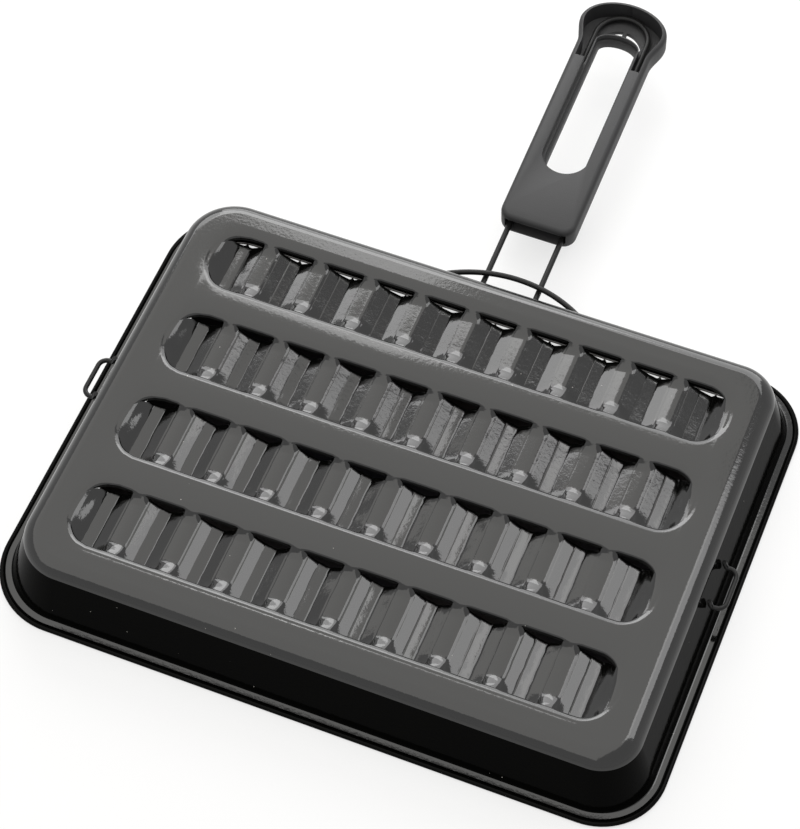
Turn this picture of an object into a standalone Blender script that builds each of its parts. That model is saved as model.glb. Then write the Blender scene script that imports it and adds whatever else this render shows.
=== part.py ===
"""A stovetop grill: a corrugated enamelled plate over a heat net, lifting loops and a draw-out handle.

The origin is the centre of the plate's flat top. +X runs along the long side, +Y points to the
handle and +Z is up. Depths are measured down from the flat top.
"""

import math

import bmesh
import bpy
from mathutils import Vector

# Clearance between pieces that touch
GAP = 0.0003

# Pressed plate
PLATE_SHEET = 0.0010
ROWS = 4
WAVES = 10
WAVE = 0.0220
NEAR_LIP = 0.0142
FAR_LIP = 0.0160
REAR_FAR_LIP = 0.0144
WALL_RUN = 0.0012
ROW_LAND = 0.0129
CREST_DEPTH = 0.0028
SILL_DEPTH = 0.0035
VALLEY_DEPTH = 0.0071
TROUGH_OVERRUN = 0.0115
TROUGH_ROUND = 0.0125
EDGE_LAND = 0.0090
END_LAND = 0.0080
CORNER_LEFT = 0.0148
CORNER_RIGHT = 0.0108
CORNER_GROWTH = 0.85
SHOULDER_RADIUS = 0.0070
SKIRT_DRAFT = math.radians(17.0)
FOOT_RADIUS = 0.0025
FLANGE_LAND = 0.0006
FLANGE_DEPTH = 0.0259

# Ring under the plate, with its rolled bead
RING_SHEET = 0.0008
BEAD_RADIUS = 0.0011
LEDGE = 0.0114

# Net, its binding and the heat sheet on it
BINDING_WIDTH = 0.0050
BINDING_SEAT = 0.0036
NET_BAR = 0.0016
NET_PITCH = 0.0170
HEAT_SHEET = 0.0008
HEAT_MARGIN_X = 0.0100
HEAT_MARGIN_Y = 0.0140
HEAT_CORNER = 0.0100

# Side lifting loops
SIDE_WIRE = 0.0010
SIDE_DEPTH = 0.0135
SIDE_HALF = 0.0092
SIDE_REACH = 0.0064
SIDE_CORNER = 0.0035

# Handle wires
HANDLE_X = 0.00575
HANDLE_TILT = math.radians(4.0)
HANDLE_WIRE = 0.0012
HANDLE_SPREAD = 0.0229
HANDLE_DEPTH = 0.0162
PRONG = 0.0360

# Rear loop over the handle wires
REAR_WIRE = 0.00115
REAR_X = 0.0077
REAR_RADIUS = 0.0554
REAR_REACH = 0.0090

# Grip, along the handle from the skirt's face
GRIP_START = 0.0338
GRIP_ABOVE = 0.0070
GRIP_BELOW = 0.0042
GRIP_WALL = 0.0020
GRIP_EDGE = 0.0022
FLARE_LEAD = 0.0092
HEAD_FLARE = 0.0130
HEAD_GROWTH = 0.0030
HEAD_CLEAR = 0.00065
SLOT_INSET = 0.0302
SLOT_HALF = 0.0083
SLOT_LENGTH = 0.0752
SLOT_STEP = 0.0020
SLOT_WALL = 0.0016
SLOT_STEP_ABOVE = 0.0030
TRAY_LEAD = 0.0169
RIB_HALF = 0.0008
WINDOW_FROM = math.radians(28.0)
MOUTH_WALL = 0.0030
MOUTH_CLEAR = 0.00075

# Facets
CORNER_STEPS = 6
LONG_STEPS = 5
SHORT_STEPS = 4
WIRE_STEPS = 12

COLLECTION = "Stovetop_grill_net"


def clear_scene():
    """Removes what the scene holds."""
    for obj in list(bpy.data.objects):
        bpy.data.objects.remove(obj, do_unlink=True)


def make_collection(name):
    """A collection linked to the scene."""
    collection = bpy.data.collections.new(name)
    bpy.context.scene.collection.children.link(collection)
    return collection


def make_material(name, color, roughness, metallic):
    """A Principled BSDF with one colour."""
    material = bpy.data.materials.new(name)
    material.use_nodes = True
    shader = material.node_tree.nodes["Principled BSDF"]
    shader.inputs["Base Color"].default_value = (*color, 1.0)
    shader.inputs["Roughness"].default_value = roughness
    shader.inputs["Metallic"].default_value = metallic
    return material


def add_part(name, data, material, parent=None):
    """A named part in the parts collection, with its material."""
    part = bpy.data.objects.new(name, data)
    bpy.data.collections[COLLECTION].objects.link(part)
    data.materials.append(material)
    part.parent = parent
    if isinstance(data, bpy.types.Mesh):
        data.shade_smooth()
        data.set_sharp_from_angle(angle=math.radians(35))
    return part


def add_cutter(name, data, parent=None):
    """A helper that shows as wire and isn't rendered."""
    cutter = bpy.data.objects.new(name, data)
    bpy.data.collections["Cutters"].objects.link(cutter)
    cutter.hide_render = True
    cutter.display_type = "WIRE"
    cutter.parent = parent
    return cutter


def combine(part, operation, other):
    """A Boolean of the part with a helper."""
    boolean = part.modifiers.new(f"{operation} {other.name}", "BOOLEAN")
    boolean.operation = operation
    boolean.object = other
    boolean.solver = "EXACT"


def mesh_from(name, points, faces):
    """A mesh of these points and faces, with the normals facing out."""
    mesh = bpy.data.meshes.new(name)
    mesh.from_pydata(points, [], faces)
    built = bmesh.new()
    built.from_mesh(mesh)
    bmesh.ops.recalc_face_normals(built, faces=built.faces)
    built.to_mesh(mesh)
    built.free()
    return mesh


def flat_solid(name, outline, low, high):
    """A flat outline as a filled 2D curve, extruded from low to high and made a mesh."""
    curve = bpy.data.curves.new(f"{name}_outline", "CURVE")
    curve.dimensions = "2D"
    curve.fill_mode = "BOTH"
    curve.extrude = (high - low) / 2
    spline = curve.splines.new("POLY")
    spline.points.add(len(outline) - 1)
    for point, (x, y) in zip(spline.points, outline):
        point.co = (x, y, 0, 1)
    spline.use_cyclic_u = True
    drawn = bpy.data.objects.new(f"{name}_outline", curve)
    bpy.context.scene.collection.objects.link(drawn)
    mesh = bpy.data.meshes.new_from_object(drawn.evaluated_get(bpy.context.evaluated_depsgraph_get()))
    mesh.name = name
    solid = bmesh.new()
    solid.from_mesh(mesh)
    bmesh.ops.remove_doubles(solid, verts=solid.verts, dist=1e-6)
    bmesh.ops.translate(solid, verts=solid.verts, vec=(0, 0, (low + high) / 2))
    bmesh.ops.recalc_face_normals(solid, faces=solid.faces)
    solid.to_mesh(mesh)
    solid.free()
    bpy.data.objects.remove(drawn)
    return mesh


def wire(name, route, radius):
    """A round wire along a route of points, with filled ends."""
    curve = bpy.data.curves.new(name, "CURVE")
    curve.dimensions = "3D"
    curve.bevel_depth = radius
    curve.bevel_resolution = 2
    curve.use_fill_caps = True
    spline = curve.splines.new("POLY")
    spline.points.add(len(route) - 1)
    for point, place in zip(spline.points, route):
        point.co = (*place, 1)
    return curve


def arc(center_x, center_y, radius_x, radius_y, start, end, steps):
    """Points along an elliptic arc, both ends included, with the angles in radians."""
    points = []
    for step in range(steps + 1):
        angle = start + (end - start) * step / steps
        points.append((center_x + radius_x * math.cos(angle), center_y + radius_y * math.sin(angle)))
    return points


def rounded_loop(half_x, half_y, left, right):
    """A rounded rectangle with one radius on the left and one on the right, and points along its sides."""
    quarter = math.pi / 2
    corners = []
    for corner in range(4):
        sign_x = 1 if corner in (0, 3) else -1
        sign_y = 1 if corner in (0, 1) else -1
        radius = right if sign_x > 0 else left
        center_x = sign_x * (half_x - radius)
        center_y = sign_y * (half_y - radius)
        turn = arc(center_x, center_y, radius, radius, corner * quarter, (corner + 1) * quarter, CORNER_STEPS)
        corners.append(turn)
    points = []
    for corner, turn in enumerate(corners):
        points.extend(turn)
        start = Vector(turn[-1])
        end = Vector(corners[(corner + 1) % 4][0])
        steps = LONG_STEPS if corner in (0, 2) else SHORT_STEPS
        points.extend(tuple(start.lerp(end, step / steps)) for step in range(1, steps))
    return points


def plate_loop(outward):
    """The plate's outline at this distance out from the flat top's edge."""
    growth = CORNER_GROWTH * outward
    return rounded_loop(TOP_HALF_X + outward, TOP_HALF_Y + outward, CORNER_LEFT + growth, CORNER_RIGHT + growth)


def ring_solid(name, profile):
    """A closed profile of (outward, height) points carried round the plate's outline."""
    points = []
    for outward, height in profile:
        points.extend((x, y, height) for x, y in plate_loop(outward))
    count = len(points) // len(profile)
    faces = []
    for level in range(len(profile)):
        above = (level + 1) % len(profile)
        for step in range(count):
            beside = (step + 1) % count
            low = level * count
            high = above * count
            faces.append((low + step, low + beside, high + beside, high + step))
    return mesh_from(name, points, faces)


# Levels and half sizes that follow from the driving sizes
LAST_VALLEY = (WAVES - 1) / 2 * WAVE
ROW_PITCH = NEAR_LIP + FAR_LIP + ROW_LAND
TROUGH_END = LAST_VALLEY + TROUGH_OVERRUN
TOP_HALF_X = TROUGH_END + END_LAND
TOP_HALF_Y = (ROWS - 1) / 2 * ROW_PITCH + NEAR_LIP + EDGE_LAND
STEEPEST = math.pi / 2 - SKIRT_DRAFT
SHOULDER_OUT = SHOULDER_RADIUS * math.sin(STEEPEST)
SHOULDER_DROP = SHOULDER_RADIUS * (1 - math.cos(STEEPEST))
FOOT_OUT = FOOT_RADIUS * math.sin(STEEPEST)
FOOT_DROP = FOOT_RADIUS * (1 - math.cos(STEEPEST))
SKIRT_DROP = FLANGE_DEPTH - SHOULDER_DROP - FOOT_DROP
SKIRT_OUT = SKIRT_DROP * math.tan(SKIRT_DRAFT)
EDGE_OUT = SHOULDER_OUT + SKIRT_OUT + FOOT_OUT + FLANGE_LAND
BEAD_OUT = EDGE_OUT + GAP + BEAD_RADIUS
RING_TOP = -(FLANGE_DEPTH + PLATE_SHEET + GAP)
RING_BOTTOM = RING_TOP - RING_SHEET
LEDGE_OUT = BEAD_OUT - LEDGE
NET_LOW = RING_TOP + GAP
NET_HIGH = NET_LOW + NET_BAR
BINDING_OUT = LEDGE_OUT + BINDING_SEAT
BINDING_IN = BINDING_OUT - BINDING_WIDTH
MOUTH_HALF = HANDLE_SPREAD / 2 + HANDLE_WIRE + MOUTH_CLEAR
GRIP_HALF = MOUTH_HALF + MOUTH_WALL


def skirt_out(depth):
    """How far the skirt's outer face stands out from the flat top's edge at this depth."""
    return SHOULDER_OUT + (depth - SHOULDER_DROP) * math.tan(SKIRT_DRAFT)


def floor_depth(offset):
    """A trough floor's depth at this distance from a valley."""
    middle = (VALLEY_DEPTH + CREST_DEPTH) / 2
    swing = (VALLEY_DEPTH - CREST_DEPTH) / 2
    return middle + swing * math.cos(2 * math.pi * offset / WAVE)


def slot_half():
    """Half of a slot's length: where the wave's floor rises to the wall's lower edge."""
    middle = (VALLEY_DEPTH + CREST_DEPTH) / 2
    swing = (VALLEY_DEPTH - CREST_DEPTH) / 2
    return WAVE * math.acos((SILL_DEPTH - middle) / swing) / (2 * math.pi)


def trough_width(x):
    """A trough's width at x as a part of its full width, rounded off at the ends."""
    into_end = max(0.0, abs(x) - (TROUGH_END - TROUGH_ROUND)) / TROUGH_ROUND
    return math.sqrt(max(0.0, 1 - into_end**2))


def trough_stations():
    """The columns along a trough: x, width, depth of the wall's foot and depth of the floor."""
    tip = slot_half()
    blunt = 0.2
    end_x = TROUGH_END - TROUGH_ROUND + TROUGH_ROUND * math.sqrt(1 - blunt**2)
    stations = [(-end_x, blunt, 0.0, 0.0)]
    for wave in range(WAVES):
        valley = wave * WAVE - LAST_VALLEY
        for offset in (-tip, -tip / 2, 0.0, tip / 2, tip):
            x = valley + offset
            floor = max(floor_depth(offset), SILL_DEPTH)
            stations.append((x, trough_width(x), SILL_DEPTH, floor))
        if wave < WAVES - 1:
            stations.append((valley + WAVE / 2, 1.0, CREST_DEPTH, CREST_DEPTH))
    stations.append((end_x, blunt, 0.0, 0.0))
    return stations


def add_trough(surface, near_y, far_y, stations):
    """The walls and waved floor of a trough between two lips. It gives back the lips, nearer one first."""
    lips = {-1: [], 1: []}
    feet = {-1: [], 1: []}
    floors = {-1: [], 1: []}
    middle = (near_y + far_y) / 2
    half = (far_y - near_y) / 2
    for x, width, foot, floor in stations:
        for side in (-1, 1):
            lip = surface.verts.new((x, middle + side * width * half, 0))
            lips[side].append(lip)
            foot_y = middle + side * width * (half - WALL_RUN)
            closes = foot == 0.0
            feet[side].append(lip if closes else surface.verts.new((x, foot_y, -foot)))
            split = floor > foot + GAP
            floors[side].append(surface.verts.new((x, foot_y, -floor)) if split else feet[side][-1])
    for column in range(len(stations) - 1):
        after = column + 1
        for side in (-1, 1):
            wall = [lips[side][column], lips[side][after], feet[side][after], feet[side][column]]
            surface.faces.new(list(dict.fromkeys(wall)))
        surface.faces.new([floors[-1][column], floors[-1][after], floors[1][after], floors[1][column]])
    return lips[-1], lips[1]


def add_loop(surface, outward, height):
    """A ring of points round the plate, at this distance out from the flat top's edge."""
    return [surface.verts.new((x, y, height)) for x, y in plate_loop(outward)]


def plate_profile():
    """(outward, height) from the flat top's edge over the shoulder and skirt to the flange's edge."""
    profile = []
    for step in range(1, 4):
        lean = STEEPEST * step / 3
        profile.append((SHOULDER_RADIUS * math.sin(lean), SHOULDER_RADIUS * (math.cos(lean) - 1)))
    flange_in = EDGE_OUT - FLANGE_LAND
    for step in (2, 1, 0):
        lean = STEEPEST * step / 2
        rise = FOOT_RADIUS * (1 - math.cos(lean))
        profile.append((flange_in - FOOT_RADIUS * math.sin(lean), rise - FLANGE_DEPTH))
    profile.append((EDGE_OUT, -FLANGE_DEPTH))
    return profile


def boundary_edges(vertices):
    """The open edges whose two ends are among these points."""
    wanted = set(vertices)
    edges = {edge for vertex in wanted for edge in vertex.link_edges}
    return [edge for edge in edges if len(edge.link_faces) < 2 and set(edge.verts) <= wanted]


def build_plate(material, handle_axis):
    """The pressed plate: four waved, slotted troughs, a round shoulder, a skirt and a flange."""
    surface = bmesh.new()
    stations = trough_stations()
    nearer_lips = []
    farther_lips = []
    for row in range(ROWS):
        row_y = (row - (ROWS - 1) / 2) * ROW_PITCH
        far_lip = REAR_FAR_LIP if row == ROWS - 1 else FAR_LIP
        nearer, farther = add_trough(surface, row_y - NEAR_LIP, row_y + far_lip, stations)
        nearer_lips.append(nearer)
        farther_lips.append(farther)
    for row in range(ROWS - 1):
        for column in range(len(stations) - 1):
            before = farther_lips[row]
            behind = nearer_lips[row + 1]
            surface.faces.new([before[column], before[column + 1], behind[column + 1], behind[column]])
    lips = [vertex for line in nearer_lips + farther_lips for vertex in line]
    open_edges = boundary_edges(lips)
    top_loop = add_loop(surface, 0.0, 0.0)
    top_edges = [surface.edges.new((top_loop[i - 1], top_loop[i])) for i in range(len(top_loop))]
    bmesh.ops.triangle_fill(surface, use_beauty=True, edges=open_edges + top_edges, normal=(0, 0, 1))
    loop = top_loop
    for outward, height in plate_profile():
        lower = add_loop(surface, outward, height)
        for i in range(len(loop)):
            surface.faces.new([loop[i - 1], loop[i], lower[i], lower[i - 1]])
        loop = lower
    bmesh.ops.recalc_face_normals(surface, faces=surface.faces)
    if sum(face.normal.z * face.calc_area() for face in surface.faces) < 0:
        bmesh.ops.reverse_faces(surface, faces=surface.faces)
    mesh = bpy.data.meshes.new("grill_plate")
    surface.to_mesh(mesh)
    surface.free()
    plate = add_part("grill_plate", mesh, material)
    sheet = plate.modifiers.new("Sheet", "SOLIDIFY")
    sheet.thickness = PLATE_SHEET
    sheet.offset = -1
    sheet.use_even_offset = True
    for side in (-1, 1):
        combine(plate, "DIFFERENCE", wire_cutter(f"skirt_hole_{side}", side, -PRONG / 2, PRONG / 2, handle_axis))


def wire_cutter(name, side, start, end, handle_axis):
    """A round bore along one handle wire, in the handle's own frame."""
    bore = bmesh.new()
    radius = HANDLE_WIRE + GAP
    bmesh.ops.create_cone(
        bore, cap_ends=True, segments=12, radius1=radius, radius2=radius, depth=end - start
    )
    mesh = bpy.data.meshes.new(name)
    bore.to_mesh(mesh)
    bore.free()
    cutter = add_cutter(name, mesh, handle_axis)
    cutter.location = (side * HANDLE_SPREAD / 2, (start + end) / 2, 0)
    cutter.rotation_euler = (math.pi / 2, 0, 0)
    return cutter


def build_base_ring(material):
    """The ring that the plate stands on: an inner ledge and an outer rolled bead."""
    bead_center = RING_BOTTOM + BEAD_RADIUS
    meeting = math.asin((BEAD_RADIUS - RING_SHEET) / BEAD_RADIUS)
    profile = [(LEDGE_OUT, RING_BOTTOM)]
    profile.extend(arc(BEAD_OUT, bead_center, BEAD_RADIUS, BEAD_RADIUS, -math.pi / 2, math.pi + meeting, 8))
    profile.append((LEDGE_OUT, RING_TOP))
    add_part("base_ring", ring_solid("base_ring", profile), material)


def build_binding(material):
    """The strip that binds the net's edge and lies on the ring's ledge."""
    profile = [(BINDING_IN, NET_LOW), (BINDING_OUT, NET_LOW), (BINDING_OUT, NET_HIGH), (BINDING_IN, NET_HIGH)]
    add_part("net_binding", ring_solid("net_binding", profile), material)


def bar_edges(reach):
    """The places of the bars' two edges along one direction, from -reach to +reach."""
    gaps = max(1, round((2 * reach - NET_BAR) / NET_PITCH))
    pitch = (2 * reach - NET_BAR) / gaps
    edges = []
    for bar in range(gaps + 1):
        left = -reach + bar * pitch
        edges.extend((left, left + NET_BAR))
    return edges


def build_net(material):
    """Crossing bars with square gaps, trimmed to fit inside the binding."""
    lines_x = bar_edges(TOP_HALF_X + BINDING_IN)
    lines_y = bar_edges(TOP_HALF_Y + BINDING_IN)
    points = [(x, y, NET_HIGH) for y in lines_y for x in lines_x]
    faces = []
    for row in range(len(lines_y) - 1):
        for column in range(len(lines_x) - 1):
            if row % 2 and column % 2:
                continue
            corner = row * len(lines_x) + column
            beyond = corner + len(lines_x)
            faces.append((corner, corner + 1, beyond + 1, beyond))
    mesh = bpy.data.meshes.new("heat_net")
    mesh.from_pydata(points, [], faces)
    net = add_part("heat_net", mesh, material)
    bars = net.modifiers.new("Bars", "SOLIDIFY")
    bars.thickness = NET_BAR
    bars.offset = -1
    trim = flat_solid("net_trim", plate_loop(BINDING_IN - GAP), NET_LOW - NET_BAR, NET_HIGH + NET_BAR)
    combine(net, "INTERSECT", add_cutter("net_trim", trim))


def build_heat_sheet(material):
    """The closed sheet that spreads the flame's heat, lying on the net."""
    low = NET_HIGH + GAP
    half_x = TOP_HALF_X + BINDING_IN - HEAT_MARGIN_X
    half_y = TOP_HALF_Y + BINDING_IN - HEAT_MARGIN_Y
    outline = rounded_loop(half_x, half_y, HEAT_CORNER, HEAT_CORNER)
    add_part("heat_sheet", flat_solid("heat_sheet", outline, low, low + HEAT_SHEET), material)


def build_side_loops(material):
    """A flat D of wire on each short side, to lift the plate by."""
    face = TOP_HALF_X + skirt_out(SIDE_DEPTH)
    root = TOP_HALF_X + skirt_out(SIDE_DEPTH + SIDE_WIRE) + GAP
    bar = face + SIDE_REACH
    quarter = math.pi / 2
    corner = SIDE_HALF - SIDE_CORNER
    for name, sign in (("side_loop_left", -1), ("side_loop_right", 1)):
        route = [(root, -SIDE_HALF)]
        route.extend(arc(bar - SIDE_CORNER, -corner, SIDE_CORNER, SIDE_CORNER, -quarter, 0, 4))
        route.extend(arc(bar - SIDE_CORNER, corner, SIDE_CORNER, SIDE_CORNER, 0, quarter, 4))
        route.append((root, SIDE_HALF))
        curve = wire(name, [(sign * x, y, -SIDE_DEPTH) for x, y in route], SIDE_WIRE)
        add_part(name, curve, material)


def build_rear_loop(material):
    """An arc of wire on the rear skirt that passes over the handle wires."""
    face = TOP_HALF_Y + skirt_out(HANDLE_DEPTH)
    wire_top = (REAR_REACH * math.sin(HANDLE_TILT) - HANDLE_DEPTH) + HANDLE_WIRE / math.cos(HANDLE_TILT)
    height = wire_top + GAP + REAR_WIRE
    root = TOP_HALF_Y + skirt_out(REAR_WIRE - height) + GAP + REAR_WIRE
    center = face + REAR_REACH - REAR_RADIUS
    half_turn = math.acos((root - center) / REAR_RADIUS)
    start = math.pi / 2 - half_turn
    end = math.pi / 2 + half_turn
    route = arc(REAR_X, center, REAR_RADIUS, REAR_RADIUS, start, end, WIRE_STEPS)
    add_part("rear_loop", wire("rear_loop", [(x, y, height) for x, y in route], REAR_WIRE), material)


def make_handle_axis():
    """The empty that the handle's pieces ride on: its +Y is the line along which the handle draws out."""
    axis = bpy.data.objects.new("handle_axis", None)
    bpy.data.collections[COLLECTION].objects.link(axis)
    axis.location = (HANDLE_X, TOP_HALF_Y + skirt_out(HANDLE_DEPTH), -HANDLE_DEPTH)
    axis.rotation_euler = (HANDLE_TILT, 0, 0)
    return axis


def slot_end():
    """Where the grip's long slot ends, towards the head."""
    return GRIP_START + SLOT_INSET + SLOT_LENGTH


def flare_start():
    """Where the grip starts to widen into its head, a little before the slot's end."""
    return slot_end() - FLARE_LEAD


def head_center():
    """Where the head is widest."""
    return flare_start() + HEAD_FLARE


def wire_bend():
    """The centre of the wire's bend in the head."""
    return slot_end() + GRIP_WALL


def head_round():
    """How far the head's round end reaches: past the wire's bend, its clearance and the wall."""
    return wire_bend() + HANDLE_SPREAD / 2 + HANDLE_WIRE + HEAD_CLEAR + GRIP_WALL - head_center()


def build_handle_wire(material, handle_axis):
    """Two straight prongs joined by a bend inside the grip's head."""
    half = HANDLE_SPREAD / 2
    route = [(half, -PRONG), (half, 0)]
    route.extend(arc(0, wire_bend(), half, half, 0, math.pi, WIRE_STEPS))
    route.extend([(-half, 0), (-half, -PRONG)])
    curve = wire("handle_wire", [(x, y, 0) for x, y in route], HANDLE_WIRE)
    add_part("handle_wire", curve, material, handle_axis)


def grip_outline(inset, start):
    """The grip from above, drawn in by the inset: straight sides, a flare and a round head."""
    flare_steps = 4
    half = GRIP_HALF - inset
    side = [(half, start)]
    for step in range(flare_steps):
        blend = (1 - math.cos(math.pi * step / flare_steps)) / 2
        along = flare_start() + HEAD_FLARE * step / flare_steps
        if along > start:
            side.append((half + HEAD_GROWTH * blend, along))
    head_half = half + HEAD_GROWTH
    side.extend(arc(0, head_center(), head_half, head_round() - inset, 0, math.pi / 2, 7))
    return side + [(-x, y) for x, y in reversed(side[:-1])]


def slot_outline(half, start, end):
    """A slot with round ends."""
    outline = arc(0, end - half / 2, half, half / 2, 0, math.pi, 8)
    outline.extend(arc(0, start + half, half, half, math.pi, 2 * math.pi, 8))
    return outline


def build_grip(material, handle_axis):
    """The moulded grip: a long slot with a step, an open tray in the head, a hollow mouth and two bores."""
    shell = bpy.data.meshes.new("handle_grip")
    body = bmesh.new()
    body.from_mesh(flat_solid("grip_blank", grip_outline(0, GRIP_START), -GRIP_BELOW, GRIP_ABOVE))
    rim = [
        edge
        for edge in body.edges
        if abs(edge.verts[0].co.z - edge.verts[1].co.z) < GAP
        and len({round(face.normal.z) for face in edge.link_faces}) > 1
        and max(vertex.co.y for vertex in edge.verts) > GRIP_START + GAP
    ]
    bmesh.ops.bevel(body, geom=rim, offset=GRIP_EDGE, segments=2, profile=0.5, affect="EDGES")
    body.to_mesh(shell)
    body.free()
    grip = add_part("handle_grip", shell, material, handle_axis)
    slot_start = GRIP_START + SLOT_INSET
    tray_start = slot_end() - TRAY_LEAD
    over = GRIP_ABOVE + GRIP_WALL
    under = -GRIP_BELOW - GRIP_WALL
    tray_floor = GRIP_WALL - GRIP_BELOW
    slot = slot_outline(SLOT_HALF, slot_start, slot_end())
    step = slot_outline(SLOT_HALF + SLOT_STEP, slot_start - SLOT_STEP, slot_end() + SLOT_STEP)
    wall_half = SLOT_HALF + SLOT_WALL
    wall_end = slot_end() - SLOT_HALF / 2
    wall = arc(0, wall_end, wall_half, SLOT_HALF / 2 + SLOT_WALL, math.pi, 0, 8)
    moat = grip_outline(GRIP_WALL, tray_start) + [(-wall_half, tray_start)] + wall
    moat.append((wall_half, tray_start))
    cutters = [
        ("grip_slot", slot, under, over),
        ("grip_step", step, SLOT_STEP_ABOVE, over),
        ("grip_moat", moat, tray_floor, over),
    ]
    inner = HANDLE_SPREAD / 2 - HANDLE_WIRE
    for side in (-1, 1):
        outer_arc = arc(0, wire_bend(), inner, inner, WINDOW_FROM, math.acos(RIB_HALF / inner), 5)
        near_rib = math.acos(RIB_HALF / wall_half)
        inner_arc = arc(0, wall_end, wall_half, SLOT_HALF / 2 + SLOT_WALL, near_rib, WINDOW_FROM, 5)
        window = [(side * x, y) for x, y in outer_arc + inner_arc]
        cutters.append((f"grip_window_{side}", window, under, 0))
    mouth_end = slot_start - SLOT_STEP - GRIP_WALL
    mouth_start = GRIP_START - GRIP_WALL
    mouth = [
        (-MOUTH_HALF, mouth_start),
        (MOUTH_HALF, mouth_start),
        (MOUTH_HALF, mouth_end),
        (-MOUTH_HALF, mouth_end),
    ]
    cutters.append(("grip_mouth", mouth, tray_floor, GRIP_ABOVE - GRIP_WALL))
    for name, outline, low, high in cutters:
        combine(grip, "DIFFERENCE", add_cutter(name, flat_solid(name, outline, low, high), handle_axis))
    for side in (-1, 1):
        bore = wire_cutter(f"grip_bore_{side}", side, mouth_end - GRIP_WALL, tray_start + GRIP_WALL, handle_axis)
        combine(grip, "DIFFERENCE", bore)


def main():
    clear_scene()
    make_collection(COLLECTION)
    make_collection("Cutters")
    enamel = make_material("black_enamel", (0.012, 0.012, 0.011), 0.12, 0.0)
    coated_wire = make_material("black_wire", (0.015, 0.015, 0.015), 0.25, 0.0)
    net_steel = make_material("net_steel", (0.42, 0.41, 0.39), 0.38, 1.0)
    heat_steel = make_material("heat_sheet_steel", (0.05, 0.05, 0.05), 0.55, 0.6)
    grip_plastic = make_material("grip_plastic", (0.045, 0.045, 0.047), 0.55, 0.0)
    handle_axis = make_handle_axis()
    build_plate(enamel, handle_axis)
    build_base_ring(enamel)
    build_binding(net_steel)
    build_net(net_steel)
    build_heat_sheet(heat_steel)
    build_side_loops(coated_wire)
    build_rear_loop(coated_wire)
    build_handle_wire(coated_wire, handle_axis)
    build_grip(grip_plastic, handle_axis)


main()
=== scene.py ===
"""Looks of a stovetop grill: the pressed enamel plate, its loops, the net under it and the handle.

The frame is the packed model, in metres: the origin is the centre of the plate's flat top, +X runs
along the long side, +Y points to the handle and +Z is up.
"""

import math

import bpy
from bpy.props import BoolProperty, FloatProperty, FloatVectorProperty, IntProperty, PointerProperty
from mathutils import Matrix, Vector, noise


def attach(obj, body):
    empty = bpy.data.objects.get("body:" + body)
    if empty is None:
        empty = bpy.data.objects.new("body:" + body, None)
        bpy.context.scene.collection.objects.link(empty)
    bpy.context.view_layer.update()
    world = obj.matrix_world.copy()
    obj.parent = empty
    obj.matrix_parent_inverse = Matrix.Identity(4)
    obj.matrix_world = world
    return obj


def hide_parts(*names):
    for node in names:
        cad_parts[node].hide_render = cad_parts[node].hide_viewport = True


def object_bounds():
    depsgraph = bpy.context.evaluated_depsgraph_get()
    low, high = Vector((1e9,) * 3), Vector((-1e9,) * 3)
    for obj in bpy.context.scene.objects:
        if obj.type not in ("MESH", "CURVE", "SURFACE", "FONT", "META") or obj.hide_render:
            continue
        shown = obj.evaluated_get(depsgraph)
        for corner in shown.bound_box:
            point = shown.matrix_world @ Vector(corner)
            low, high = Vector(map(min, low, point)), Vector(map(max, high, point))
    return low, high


bl_info = {
    "name": "Stovetop Grill",
    "version": (1, 0, 0),
    "blender": (4, 5, 0),
    "location": "View3D > Sidebar > Grill",
    "description": "Models and finishes a stovetop grill plate with its net, loops and handle",
    "category": "Object",
}

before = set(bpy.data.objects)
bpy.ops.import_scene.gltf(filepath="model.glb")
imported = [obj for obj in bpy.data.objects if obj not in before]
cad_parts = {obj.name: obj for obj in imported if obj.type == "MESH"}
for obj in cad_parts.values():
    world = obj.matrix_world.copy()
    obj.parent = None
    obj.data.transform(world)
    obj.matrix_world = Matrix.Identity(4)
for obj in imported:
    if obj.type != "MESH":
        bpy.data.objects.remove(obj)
CAD_LOW, CAD_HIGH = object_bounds()
FLOOR_HEIGHT = CAD_LOW.z


def length(name, description, default):
    """A size in metres for a property group."""
    return FloatProperty(
        name=name, description=description, default=default, min=0.0, precision=5, unit="LENGTH"
    )


def incline(name, description, degrees):
    """An angle for a property group."""
    return FloatProperty(name=name, description=description, default=math.radians(degrees), subtype="ANGLE")


def colour(name, description, default):
    """A colour for a property group."""
    return FloatVectorProperty(
        name=name, description=description, default=default, subtype="COLOR", size=3, min=0.0, max=1.0
    )


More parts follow.
